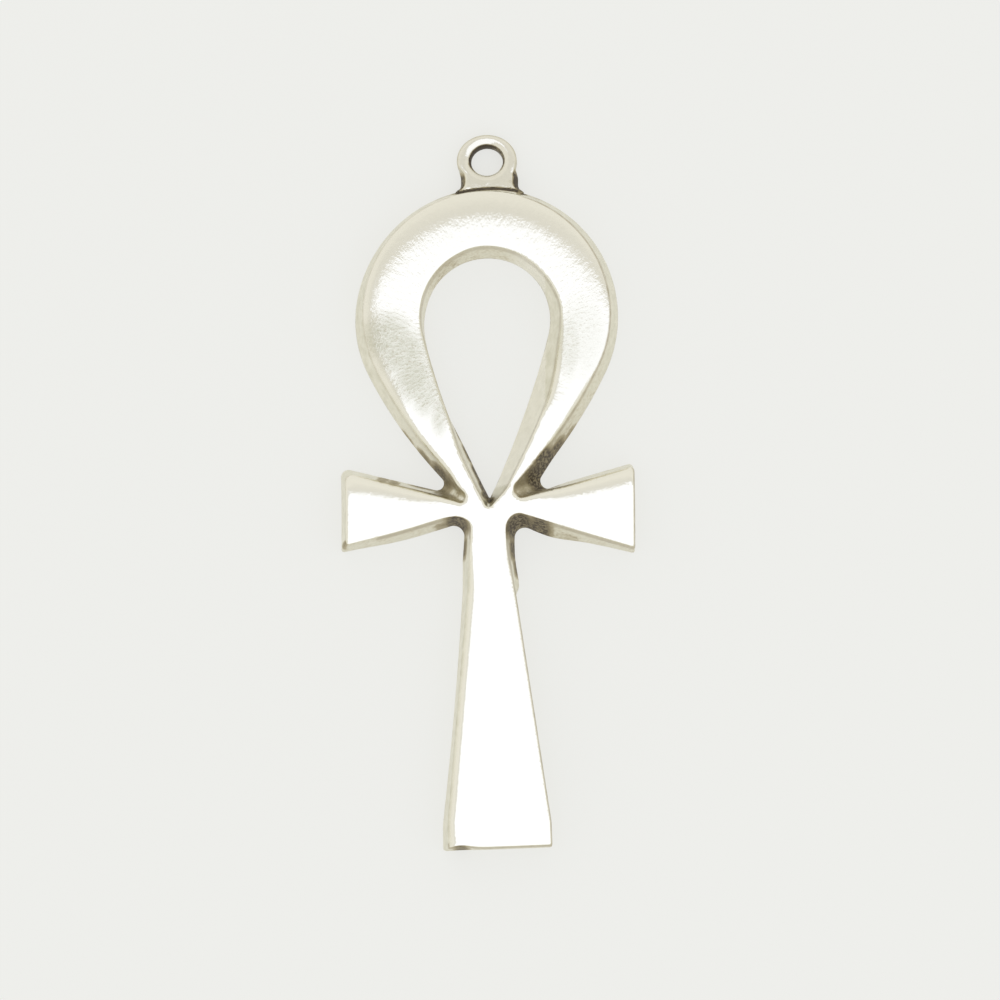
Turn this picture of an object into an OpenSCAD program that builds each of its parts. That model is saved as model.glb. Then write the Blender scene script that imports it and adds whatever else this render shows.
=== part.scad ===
// Ankh pendant: one casting with a teardrop loop, two flared arms, a flared stem and an eyelet.
// It lies on its flat back, with +Z up out of its face and +Y towards the eyelet. Millimetres.

/* [Loop] */
// Outer radius of the loop's round top, at the back
loop_r = 7.4; // [6.6:0.1:8.4]
// Height of the loop's centre above the centre line of the arms
loop_rise = 11.1; // [10.5:0.1:13]
// Depth, below that line, of the point where the loop's flanks would meet
loop_sink = 0.65; // [0.4:0.05:1.2]
// Radius of the loop's long, slightly curved flanks
loop_flank_r = 25; // [20:1:60]
// Radius of the inner corner between the loop and an arm
loop_crotch_r = 0.4; // [0.3:0.05:0.6]

/* [Window] */
// Radius of the window's round top, at the back
window_r = 3.55; // [2.8:0.05:4.2]
// Distance of the window's centre below the loop's centre
window_shift = 0.15; // [0:0.05:0.4]
// Height of the window's pointed end above the centre line of the arms
window_tip_rise = 0.75; // [0.7:0.05:2]
// Radius of the window's long, slightly curved flanks
window_flank_r = 45; // [25:1:90]
// Radius that rounds the window's pointed end, at the back
window_tip_r = 0.15; // [0.1:0.05:0.3]

/* [Arms] */
// Span of the two arms, end to end
arm_span = 17; // [14:0.5:20]
// Width of an arm at its end
arm_end_w = 5.4; // [4:0.1:6.5]
// Width of an arm where it leaves the stem
arm_root_w = 1.4; // [1.3:0.05:2]
// Height of the middle of that root above the centre line of the arms
arm_root_rise = 0.15; // [0:0.05:0.3]
// Radius of an arm's upper outer corner
arm_tip_r = 0.45; // [0.2:0.05:0.8]
// Radius of an arm's lower outer corner
arm_heel_r = 0.12; // [0.05:0.01:0.4]

/* [Stem] */
// Height of the centre line of the arms above the end of the stem
stem_h = 19.5; // [16:0.5:24]
// Width of the stem just below the arms
waist_w = 2.8; // [2.4:0.1:3.2]
// Width of the stem where its flare starts
flare_start_w = 3.3; // [3:0.1:4]
// Distance of that place below the centre line of the arms
flare_start_drop = 4.5; // [3:0.1:7]
// Width of the stem at its end
foot_w = 6.45; // [5:0.05:8]
// Length of the straight stretch at the end of the stem
foot_straight = 1.8; // [1.2:0.1:3]
// Sideways lean of the stem at its end, as hand-made masters have
stem_lean = 0.55; // [-1:0.05:1]
// Radius of the inner corner between an arm and the stem
stem_crotch_r = 0.6; // [0.3:0.05:0.8]
// Radius that eases the stem into its flare
flare_ease_r = 3; // [1:0.5:6]
// Radius of the corners at the end of the stem
foot_corner_r = 0.12; // [0.05:0.01:0.4]

/* [Section] */
// Thickness of the casting, from its back to its crown
casting_t = 2.15; // [1.95:0.05:2.8]
// Height of the tapered side walls
wall_h = 1.8; // [1.4:0.05:1.9]
// How far the side walls lean in over their height
wall_draft = 0.4; // [0.2:0.02:0.44]
// Width of the rounded shoulder between a wall and the face
shoulder_w = 0.12; // [0.06:0.02:0.16]
// Rounding of the edge along the back
back_edge_r = 0.1; // [0.05:0.01:0.2]

/* [Eyelet] */
// Outer width of the eyelet
eyelet_w = 3.4; // [3:0.1:4]
// Outer height of the eyelet
eyelet_h = 3; // [2.8:0.1:3.6]
// Diameter of the eyelet's bore
eyelet_bore = 1.8; // [1.4:0.1:2]
// Height of the bore's centre above the loop's top edge
eyelet_rise = 1.35; // [1.2:0.05:2]
// Thickness of the eyelet
eyelet_t = 0.9; // [0.8:0.05:1.3]
// Height of the eyelet's back above the back of the casting
eyelet_lift = 0.1; // [0.05:0.05:0.5]
// Rounding of the eyelet's outer edges
eyelet_edge_r = 0.28; // [0.1:0.02:0.36]
// Width of the bevel at each rim of the bore
bore_rim = 0.12; // [0.05:0.01:0.14]
// Width of the neck that carries the eyelet
neck_w = 3.2; // [2.8:0.1:3.4]
// Radius of the flare from the neck to the loop
neck_flare_r = 0.5; // [0.3:0.05:0.8]

/* [Hidden] */
$fn = 64;

arm_y = stem_h;
loop_y = arm_y + loop_rise;
loop_top_y = loop_y + loop_r;
window_y = loop_y - window_shift;
eyelet_y = loop_top_y + eyelet_rise;
total_h = eyelet_y + eyelet_h / 2;
loop_flank = flank(loop_r, loop_flank_r, loop_rise + loop_sink);
window_flank = flank(window_r, window_flank_r, loop_rise - window_shift - window_tip_rise);
// Depth to which the eyelet's neck reaches into the loop
neck_root = 1.1;
// Height of the centre of the neck's flare above the loop's top edge, and the angle it turns through
neck_flare_rise = 0.15;
neck_flare_turn = 68;
// How far a cutter runs past the surfaces that it cuts
past = 1;

// Steps along each stretch of an outline
round_steps = 20;
flank_steps = 6;
crotch_steps = 6;
arm_tip_steps = 4;
arm_heel_steps = 2;
ease_steps = 3;
foot_corner_steps = 2;
window_tip_steps = 4;
eyelet_steps = 12;
neck_flare_steps = 5;

// Places in the cross's outline: where the flank ends, and the middles of its two inner corners
flank_end_at = round_steps + flank_steps;
loop_crotch_at = flank_end_at + crotch_steps / 2;
stem_crotch_at = flank_end_at + crotch_steps + arm_tip_steps + arm_heel_steps + 3 + crotch_steps / 2;

// How far each level of the casting lies inside the outline of its back, with its height
shoulder_steps = 4;
casting_levels = concat(
    [[0, back_edge_r], [back_edge_r, 0]],
    [for (i = [0:shoulder_steps]) let (a = 90 * i / shoulder_steps)
        [wall_h + (casting_t - wall_h) * sin(a), wall_draft + shoulder_w * (1 - cos(a))]]
);

edge_steps = 4;
eyelet_levels = concat(
    [for (i = [0:edge_steps]) let (a = 90 * i / edge_steps)
        [eyelet_lift + eyelet_edge_r * (1 - cos(a)), eyelet_edge_r * (1 - sin(a))]],
    [for (i = [0:edge_steps]) let (a = 90 * i / edge_steps)
        [eyelet_lift + eyelet_t - eyelet_edge_r * (1 - sin(a)), eyelet_edge_r * (1 - cos(a))]]
);

function unit(v) = v / norm(v);

function angle_of(v) = atan2(v.y, v.x);

// Points on an arc, both ends included
function arc(centre, r, from, to, steps) =
    [for (i = [0:steps]) let (a = from + (to - from) * i / steps) centre + r * [cos(a), sin(a)]];

// A list without its first item
function rest(list) = [for (i = [1:len(list) - 1]) list[i]];

// The edge from p to q, moved inwards by d, as a point and a direction. The metal is on its right.
function edge(p, q, d) = let (u = unit(q - p)) [p + d * [u.y, -u.x], u];

// The point where two edges meet
function meet(a, b) = a[0] + a[1] * cross(b[0] - a[0], b[1]) / cross(a[1], b[1]);

// The corner at b, on the way from a to c, rounded with radius r
function corner(a, b, c, r, steps) =
    let (
        u = unit(a - b),
        v = unit(c - b),
        half = acos(u * v) / 2,
        centre = b + unit(u + v) * r / sin(half),
        from = angle_of(b + u * r / tan(half) - centre),
        turn = sign(cross(u, v)) * (180 - 2 * half)
    )
    arc(centre, r, from, from - turn, steps);

// A teardrop's flank: the arc of radius big that leaves the round top of radius r smoothly and
// ends on the axis, drop below the top's centre. Gives the angle where it starts and its centre.
function flank(r, big, drop) =
    let (a = asin((2 * r * big - r * r - drop * drop) / (2 * drop * (big - r))))
    [a, (big - r) * [-cos(a), sin(a)]];

// Leans the stem sideways below the arms, more and more towards its end
function leaning(p) = [p.x + stem_lean * max(0, 1 - p.y / (arm_y - arm_end_w / 2)), p.y];

// A closed outline from its right half, which starts on the axis
function both_halves(half, ends_on_axis) =
    concat(half, [for (i = [len(half) - (ends_on_axis ? 2 : 1):-1:1]) [-half[i].x, half[i].y]]);

// Outline of the cross, d inside the outline of its back
function cross_outline(d) =
    let (
        root_y = arm_y + arm_root_rise,
        ends = [
            [waist_w / 2, root_y + arm_root_w / 2],
            [arm_span / 2, arm_y + arm_end_w / 2],
            [arm_span / 2, arm_y - arm_end_w / 2],
            [waist_w / 2, root_y - arm_root_w / 2],
            [flare_start_w / 2, arm_y - flare_start_drop],
            [foot_w / 2, foot_straight],
            [foot_w / 2, 0],
            [0, 0]
        ],
        radii = [arm_tip_r, arm_heel_r, stem_crotch_r, flare_ease_r, flare_ease_r, foot_corner_r],
        steps = [arm_tip_steps, arm_heel_steps, crotch_steps, ease_steps, ease_steps, foot_corner_steps],
        edges = [for (i = [0:len(ends) - 2]) edge(ends[i], ends[i + 1], d)],
        centre = [0, loop_y] + loop_flank[1],
        flank_r = loop_flank_r - d,
        out = edges[0][1],
        start = edges[0][0] + loop_crotch_r * [-out.y, out.x] - centre,
        along = start * out,
        reach = sqrt(along * along - start * start + pow(flank_r + loop_crotch_r, 2)) - along,
        crotch = centre + start + reach * out,
        flank_end = angle_of(crotch - centre),
        crotch_end = crotch + loop_crotch_r * [out.y, -out.x],
        points = concat(
            [crotch_end],
            [for (i = [0:len(edges) - 2]) meet(edges[i], edges[i + 1])],
            [[0, d]]
        ),
        half = concat(
            arc([0, loop_y], loop_r - d, 90, -loop_flank[0], round_steps),
            rest(arc(centre, flank_r, -loop_flank[0], flank_end, flank_steps)),
            rest(arc(crotch, loop_crotch_r, flank_end + 180, 360 + angle_of([out.y, -out.x]), crotch_steps)),
            [for (i = [1:len(points) - 2])
                each corner(points[i - 1], points[i], points[i + 1], radii[i - 1], steps[i - 1])]
        )
    )
    [for (p = both_halves(half, false)) leaning(p)];

// Outline of the window, with walls that lie d outside its outline at the back
function window_outline(d) =
    let (
        centre = [0, window_y] + window_flank[1],
        tip_from_centre = window_flank_r - window_tip_r,
        tip = [0, centre.y - sqrt(pow(tip_from_centre, 2) - pow(centre.x, 2))],
        flank_end = angle_of(tip - centre)
    )
    both_halves(concat(
        arc([0, window_y], window_r + d, 90, -window_flank[0], round_steps),
        rest(arc(centre, window_flank_r + d, -window_flank[0], flank_end, flank_steps)),
        rest(arc(tip, window_tip_r + d, flank_end, -90, window_tip_steps))
    ), true);

// Outline of the eyelet with its neck, d inside its widest outline
function eyelet_outline(d) =
    let (
        half_w = eyelet_w / 2 - d,
        half_h = eyelet_h / 2 - d,
        neck = neck_w / 2 - d,
        low = -acos(neck / half_w),
        flare = [neck_w / 2 + neck_flare_r, loop_top_y + neck_flare_rise]
    )
    both_halves(concat(
        [for (i = [0:eyelet_steps]) let (a = 90 + (low - 90) * i / eyelet_steps)
            [half_w * cos(a), eyelet_y + half_h * sin(a)]],
        arc(flare, neck_flare_r + d, 180, 180 + neck_flare_turn, neck_flare_steps),
        [[neck, loop_top_y - neck_root]]
    ), false);

// The same outline at a given height
function at(outline, z) = [for (p = outline) [p.x, p.y, z]];

// Faces between levels that each hold stride points, around the ring of n points that starts at
// first. Seen from above the ring runs clockwise, and the faces look away from its inside.
function walls(first, n, stride, levels) = [
    for (i = [0:levels - 2], j = [0:n - 1])
        let (a = i * stride + first + j, b = i * stride + first + (j + 1) % n)
        each [[a, b, b + stride], [a, b + stride, a + stride]]
];

// The same faces, looking the other way
function turned(faces) = [for (f = faces) [for (i = [len(f) - 1:-1:0]) f[i]]];

function shifted(faces, by) = [for (f = faces) [for (i = f) i + by]];

function span(from, to) = from <= to ? [for (i = [from:to]) i] : [for (i = [from:-1:to]) i];

// Faces across a strip with the points a along one side and the points b along the other
function strip(a, b) = [for (i = [0:len(a) - 2]) [a[i], a[i + 1], b[i + 1], b[i]]];

// The same faces on the other side of the axis. The outer ring has n points, the inner one has m.
function mirrored(faces, n, m) =
    turned([for (f = faces) [for (i = f) i < n ? (n - i) % n : n + (n + m - i) % m]]);

// The flat face between the cross's outline, of n points, and the window's, of m points: strips
// around the loop, along the arms and down the stem, with a few triangles where they meet
function face_of_cross(n, m) =
    let (
        tip = n + m / 2,
        loop_at = loop_crotch_at,
        stem_at = stem_crotch_at,
        arm_len = crotch_steps / 2 + 1,
        right = concat(
            strip(span(0, loop_at), span(n, n + loop_at)),
            [[loop_at, stem_at, n + loop_at], [n + loop_at, stem_at, tip]],
            strip(span(loop_at, loop_at + arm_len), span(stem_at, stem_at - arm_len)),
            [span(loop_at + arm_len, stem_at - arm_len)]
        )
    )
    concat(
        right,
        mirrored(right, n, m),
        [[stem_at, n - stem_at, tip]],
        strip(span(stem_at, (n - 1) / 2), span(n - stem_at, (n + 1) / 2))
    );

// The cross with its window: rings of points at each level, the lowest first
module cross_blank() {
    n = len(cross_outline(0));
    m = len(window_outline(0));
    levels = len(casting_levels);
    face = face_of_cross(n, m);
    polyhedron(
        [for (level = casting_levels)
            each at(concat(cross_outline(level[1]), window_outline(level[1])), level[0])],
        concat(
            turned(face),
            walls(0, n, n + m, levels),
            turned(walls(n, m, n + m, levels)),
            shifted(face, (levels - 1) * (n + m))
        )
    );
}

module eyelet_blank() {
    n = len(eyelet_outline(0));
    levels = len(eyelet_levels);
    face = concat([[0, 1, n - 1]], strip(span(1, (n - 1) / 2), span(n - 1, (n + 1) / 2)));
    polyhedron(
        [for (level = eyelet_levels) each at(eyelet_outline(level[1]), level[0])],
        concat(
            turned(face),
            walls(0, n, n, levels),
            shifted(face, (levels - 1) * n)
        )
    );
}

module eyelet_bore_cut() {
    rim_r = eyelet_bore / 2 + bore_rim;
    back = eyelet_lift;
    front = eyelet_lift + eyelet_t;
    translate([0, eyelet_y, 0]) {
        translate([0, 0, back - past]) cylinder(d = eyelet_bore, h = eyelet_t + 2 * past);
        translate([0, 0, back]) cylinder(r1 = rim_r, r2 = eyelet_bore / 2, h = bore_rim);
        translate([0, 0, back - past]) cylinder(r = rim_r, h = past);
        translate([0, 0, front - bore_rim]) cylinder(r1 = eyelet_bore / 2, r2 = rim_r, h = bore_rim);
        translate([0, 0, front]) cylinder(r = rim_r, h = past);
    }
}

module ankh() {
    color("silver") translate([0, -total_h / 2, 0]) difference() {
        union() {
            cross_blank();
            eyelet_blank();
        }
        eyelet_bore_cut();
    }
}

ankh();
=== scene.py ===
"""An ankh pendant of bright, hand-finished silver plate, lying on its flat back on a pale floor."""

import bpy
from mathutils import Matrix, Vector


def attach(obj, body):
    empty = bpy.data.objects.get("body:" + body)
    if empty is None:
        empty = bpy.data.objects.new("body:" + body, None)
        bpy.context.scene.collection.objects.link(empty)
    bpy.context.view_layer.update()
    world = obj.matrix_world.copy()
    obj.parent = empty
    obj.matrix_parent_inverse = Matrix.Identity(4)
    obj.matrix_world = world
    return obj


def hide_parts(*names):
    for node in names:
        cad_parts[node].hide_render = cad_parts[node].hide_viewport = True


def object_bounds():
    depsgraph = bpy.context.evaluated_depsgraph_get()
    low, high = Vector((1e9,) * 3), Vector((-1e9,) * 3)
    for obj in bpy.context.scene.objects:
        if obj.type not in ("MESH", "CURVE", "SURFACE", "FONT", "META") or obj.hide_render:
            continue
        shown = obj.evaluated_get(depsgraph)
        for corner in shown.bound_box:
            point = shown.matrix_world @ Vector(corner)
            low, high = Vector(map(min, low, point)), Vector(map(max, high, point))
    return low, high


bl_info = {
    "name": "Ankh Pendant",
    "version": (1, 0, 0),
    "blender": (4, 5, 0),
    "location": "View3D > Sidebar > Ankh",
    "description": "Builds a cast ankh pendant with its finish, and the stage that it lies on",
    "category": "Object",
}

import functools
import math

import bpy
import numpy as np
from bpy.props import FloatProperty, FloatVectorProperty, IntProperty, PointerProperty
from mathutils import Matrix, Vector, geometry

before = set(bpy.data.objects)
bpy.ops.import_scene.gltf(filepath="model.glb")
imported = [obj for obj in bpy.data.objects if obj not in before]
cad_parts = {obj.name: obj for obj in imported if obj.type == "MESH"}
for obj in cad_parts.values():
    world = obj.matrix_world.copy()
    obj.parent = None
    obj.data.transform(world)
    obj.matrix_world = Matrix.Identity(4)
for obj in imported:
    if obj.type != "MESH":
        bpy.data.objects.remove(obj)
CAD_LOW, CAD_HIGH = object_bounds()

MM = 0.001
NODE = "ankh"
BODY = "root"

# Values that each vertex carries for the material
MARKS = ("steep", "oxide_and_shade", "rim", "dull_and_dark_reflection", "stroke")


def length(name, description, millimetres):
    """A length property. Its default is given in millimetres."""
    return FloatProperty(
        name=name, description=description, default=millimetres * MM, unit="LENGTH", precision=5
    )


def colour(name, description, hex_value):
    """A colour property. Its default is given as sRGB hex."""
    return FloatVectorProperty(
        name=name, description=description, default=linear(hex_value), size=3, min=0, max=1, subtype="COLOR"
    )


def angle(name, description, degrees):
    """An angle property. Its default is given in degrees."""
    return FloatProperty(name=name, description=description, default=math.radians(degrees), subtype="ANGLE")


def factor(name, description, value):
    """A property between 0 and 1."""
    return FloatProperty(name=name, description=description, default=value, min=0, max=1, subtype="FACTOR")


def linear(hex_value):
    """sRGB hex, such as "EEEFEB", as linear red, green and blue."""
    shares = [int(hex_value[i:i + 2], 16) / 255 for i in (0, 2, 4)]
    return tuple(c / 12.92 if c <= 0.04045 else ((c + 0.055) / 1.055) ** 2.4 for c in shares)


class AnkhCasting(bpy.types.PropertyGroup):
    """Sizes of the cross and its loop"""

    loop_r: length("Loop radius", "Outer radius of its round top, at the back", 7.4)
    loop_rise: length("Loop rise", "Height of its centre above the arms' centre line", 11.1)
    loop_sink: length("Loop sink", "Depth below that line at which its flanks would meet", 0.65)
    loop_flank_r: length("Loop flank radius", "Radius of its long flanks", 25)
    loop_crotch_r: length("Loop crotch radius", "Radius between the loop and an arm, at the back", 0.4)
    crotch_left_r: length("Left crotch radius", "Radius of the left one at the face", 0.28)
    crotch_right_r: length("Right crotch radius", "Radius of the right one at the face", 0.44)
    window_r: length("Window radius", "Radius of its round top, at the back", 3.55)
    window_shift: length("Window shift", "Distance of its centre below the loop's centre", 0.15)
    window_tip_rise: length("Window tip rise", "Height of its point above the arms' centre line", 0.75)
    window_flank_r: length("Window flank radius", "Radius of its long flanks", 45)
    window_tip_r: length("Window tip radius", "Radius that rounds its point", 0.06)
    arm_span: length("Arm span", "Span of the arms, end to end", 17)
    arm_end_w: length("Arm end width", "Width of an arm at its end", 5.4)
    arm_root_w: length("Arm root width", "Width of an arm at the stem", 1.4)
    arm_root_rise: length("Arm root rise", "Height of its middle above the centre line", 0.15)
    arm_tip_r: length("Arm tip radius", "Radius of its upper outer corner", 0.45)
    arm_heel_r: length("Arm heel radius", "Radius of its lower outer corner", 0.12)
    stem_h: length("Stem height", "Height of the arms' centre line above the foot", 19.5)
    waist_w: length("Waist width", "Width of the stem just below the arms", 2.8)
    flare_start_w: length("Flare start width", "Width of the stem where its flare starts", 3.3)
    flare_start_drop: length("Flare start drop", "Distance below the arms' centre line", 4.5)
    foot_w: length("Foot width", "Width of the stem at its end", 6.45)
    foot_straight: length("Foot straight", "Length of the straight stretch", 1.8)
    stem_lean: length("Stem lean", "Sideways lean of the stem at its end", 0.55)
    stem_crotch_r: length("Stem crotch radius", "Radius between an arm and the stem", 0.6)
    flare_ease_r: length("Flare ease radius", "Radius that eases the stem into its flare", 3)
    foot_corner_r: length("Foot corner radius", "Radius of the foot's corners", 0.12)
    casting_t: length("Thickness", "Thickness at the crown", 2.15)
    wall_h: length("Wall height", "Height of the tapered walls", 1.8)
    wall_draft: length("Wall draft", "How far the walls lean in", 0.4)
    shoulder_w: length("Shoulder width", "Width of the shoulder on top of the walls", 0.1)
    low_draft: length("Low draft", "How far the arms' lower walls lean in", 0.27)
    low_wear: length("Low wear", "How far the left arm's lower wall is worn at its end", 0.42)
    window_draft: length("Window draft", "How far the window's walls lean back", 0.36)
    window_skew: length("Window skew", "How much less its left wall leans back", 0.21)
    window_splay: length("Window splay", "How much further its right wall leans back", 0.27)
    window_swell: length("Window swell", "How much more it does so beside the belly", 0.45)
    window_wear: length("Window wear", "How far its left wall is worn back", 0.3)
    loop_reach: length("Loop reach", "Distance over which the face rounds off along the loop", 0.75)
    limb_reach: length("Limb reach", "The same along the loop's lower limbs", 0.1)
    arm_reach: length("Arm reach", "The same along the arms' tops", 0.36)
    root_reach: length("Root reach", "The same at the arms' roots", 0.1)
    stem_reach: length("Stem reach", "The same along the stem's left", 0.19)
    belly_reach: length("Belly reach", "The same beside the window's belly", 0.2)
    crisp_reach: length("Crisp reach", "The same along crisp edges", 0.035)
    end_wear: length("End wear", "How far the right arm's end is worn back", 0.33)
    tip_wear: length("Tip wear", "How far the left arm's end and upper corner are worn back", 0.09)
    side_wear: length("Side wear", "How far the stem's right side is worn back", 0.31)
    side_hollow: length("Side hollow", "How far the stem's left side is hollowed at its back", 0.14)
    foot_slope: factor("Foot slope", "Rise of the foot's edge to the right, per length", 0.035)
    foot_wear: length("Foot wear", "How far the foot's end is worn back", 0.42)
    worn_lean: length("Worn lean", "How far those worn walls lean out", 0.1)
    arm_lift: length("Arm lift", "How much higher the right arm's upper corner is", 0.14)
    loop_shift: length("Loop shift", "How far the loop sits to the left of the stem", 0.1)
    loop_bulge: length("Loop bulge", "How far the loop's left wall bulges at its back", 0.14)
    back_edge_r: length("Back edge radius", "Rounding of the edge along the back", 0.1)
    mesh_step: length("Mesh step", "Distance between neighbouring points of the mesh", 0.11)


class AnkhEyelet(bpy.types.PropertyGroup):
    """Sizes of the eyelet on top of the loop"""

    width: length("Width", "Outer width of the eyelet", 3.4)
    height: length("Height", "Outer height of the eyelet", 3)
    bore_w: length("Bore width", "Width of the hole", 1.8)
    bore_h: length("Bore height", "Height of the hole", 1.68)
    rise: length("Rise", "Height of the hole's centre above the loop's top edge", 1.43)
    thickness: length("Thickness", "Thickness of the eyelet", 0.9)
    lift: length("Lift", "Height of its back above the floor, at the neck", 0.38)
    edge_r: length("Edge radius", "Rounding of the outer edges", 0.22)
    rim_w: length("Rim width", "Width of the worn bevel around the hole", 0.24)
    rim_h: length("Rim depth", "Depth of that bevel", 0.13)
    throat_w: length("Throat width", "How much wider the hole is at its ends", 0.11)
    neck_w: length("Neck width", "Width of the neck at its back", 3.36)
    neck_draft: length("Neck draft", "How far the neck's sides lean in", 0.28)
    neck_shift: length("Neck shift", "How far the neck stands to the right", 0.14)
    neck_flare_r: length("Neck flare radius", "Radius of the flare from the neck to the loop", 0.5)
    neck_root: length("Neck root", "How far the neck reaches into the loop", 1.1)
    crease_w: length("Crease width", "Width of the crease between the neck and the loop", 0.1)
    crease_h: length("Crease depth", "Depth of that crease", 0.05)
    tilt: angle("Tilt", "Backward tilt of the eyelet's plate", 7)


class AnkhFinish(bpy.types.PropertyGroup):
    """Colours and relief of the finish"""

    silver: colour("Silver plate", "Colour of the bright plate", "F7F3E7")
    # Painted darker reflection: the grey of the dull patches, where the face reflects the room
    dull_and_dark_reflection: colour("Dull patches", "Colour of the patches that the polishing missed", "D4D1BE")
    wall: colour("Walls", "Colour of the walls", "F1EDDC")
    wall_dark: colour("Walls, dark", "Colour of the walls' darker blotches", "DDD9C4")
    # Dark tan line along the walls' tops; on the eyelet the same colour is painted shade
    rim: colour("Worn line", "Colour of the worn line along the walls' tops", "A89A7C")
    # Also the colour of painted shade: walls facing the foot or the right, the window's wall foot, the eyelet
    stain_and_shade: colour("Stain", "Colour of the thin stain around the oxide", "CFC6AC")
    oxide_light: colour("Oxide, light", "Colour of thin oxide", "A19473")
    oxide_dark: colour("Oxide, dark", "Colour of thick oxide", "4A3F2E")
    strokes_per_mm: FloatProperty(
        name="Strokes per mm", description="Polishing strokes along a millimetre", default=5.0, min=0
    )
    stroke_h: length("Stroke depth", "Depth of the polishing strokes", 0.014)
    ripple_h: length("Ripple height", "Height of the walls' unevenness", 0.03)
    ripple_w: length("Ripple width", "Width of that unevenness", 0.5)
    seed: IntProperty(name="Seed", description="Seed of the unevenness", default=7, min=0)
    crisp: angle("Crisp angle", "Edges that turn by more than this look crisp", 50)


class AnkhStage(bpy.types.PropertyGroup):
    """Floor, light and camera"""

    floor: colour("Floor", "Colour of the floor", "EFEFEB")
    room: colour("Room", "Colour of the light from all around", "EFEFEA")
    box: colour("Soft box", "Colour of the soft box", "D4DFFF")
    box_power: FloatProperty(
        name="Soft box power", description="Power of the soft box", default=2.6, min=0, unit="POWER"
    )
    box_h: length("Soft box height", "Its height above the floor", 600)
    north: angle("Reach north", "How far the soft box reaches towards the loop", 17)
    south: angle("Reach south", "How far it reaches towards the foot", 58)
    west: angle("Reach west", "How far it reaches to the left", 24)
    east: angle("Reach east", "How far it reaches to the right", 58)
    shade: factor("Shade", "How much darker the room is next to the soft box", 0.12)
    glow: factor("Glow", "Share of the floor's light that is its own", 0.8)
    floor_half: length("Floor reach", "Distance from the floor's middle to its sides", 2000)
    camera_far: length("Camera distance", "Distance from the camera to the pendant", 450)
    camera_south: angle("Camera south", "Angle of the camera towards the foot", 6.5)
    camera_east: angle("Camera east", "Angle of the camera to the right", 2.5)
    camera_roll: angle("Camera roll", "Turn of the camera, clockwise", 0.137)
    aim_east: length("Aim east", "How far to the right the camera looks", 0.57)
    aim_south: length("Aim south", "How far towards the foot the camera looks", 0.23)
    frame_w: length("Frame width", "Width of the picture at the pendant", 56.62)


def steps_of(distance, step):
    return max(2, round(distance / step))


def top_steps(radius, flank_from, step):
    """Steps along a round top, from the axis to its flank."""
    return steps_of(radius * (1.57 + flank_from), step)


def unit(v):
    return v / np.linalg.norm(v)


def angle_of(v):
    return math.atan2(v[1], v[0])


def cross_2d(a, b):
    return a[0] * b[1] - a[1] * b[0]


def arc(centre, radius, start, end, steps):
    """Points on an arc, with both of its ends."""
    a = np.linspace(start, end, steps + 1)
    return np.asarray(centre) + radius * np.column_stack((np.cos(a), np.sin(a)))


def corner(a, b, c, radius, step):
    """The corner at b, on the way from a to c, rounded off."""
    u, v = unit(a - b), unit(c - b)
    half = math.acos(np.clip(u @ v, -1, 1)) / 2
    centre = b + unit(u + v) * radius / math.sin(half)
    start = angle_of(b + u * radius / math.tan(half) - centre)
    turn = math.copysign(math.pi - 2 * half, cross_2d(u, v))
    return arc(centre, radius, start, start - turn, step)


def meet(p, u, q, v):
    """The point where the line from p along u meets the line from q along v."""
    return p + u * cross_2d(q - p, v) / cross_2d(u, v)


def flank(radius, big, drop):
    """Start angle and centre, seen from the round top's centre, of the long arc that leaves the round top
    smoothly and ends on the axis, drop below that centre."""
    a = math.asin((2 * radius * big - radius**2 - drop**2) / (2 * drop * (big - radius)))
    return a, (big - radius) * np.array((-math.cos(a), math.sin(a)))


def joined(right, left):
    """A closed outline from its right and left halves, which both run down from the axis to the axis. The
    left half is given mirrored."""
    return np.vstack((right, left[-2:0:-1] * (-1, 1)))


def smooth(low, high, x):
    """Eases from 0 where x is low to 1 where it is high. Low may be the larger one."""
    t = np.clip((x - low) / (high - low), 0, 1)
    return t * t * (3 - 2 * t)


def bell(low, high, x):
    """Eases from 0 at low up to 1 halfway and back to 0 at high."""
    return np.sin(math.pi * np.clip((x - low) / (high - low), 0, 1)) ** 2


def mix(a, b, t):
    return a + (b - a) * t


def around(x, y, place_x, place_y, radius):
    """Fades from 1 at a place, which is given in millimetres, as is its radius."""
    return np.exp(-((np.hypot(x / MM - place_x, y / MM - place_y) / radius) ** 2))


def loop_heights(s):
    """Heights of the loop's centre and of its top above the foot."""
    return s.stem_h + s.loop_rise, s.stem_h + s.loop_rise + s.loop_r


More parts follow.
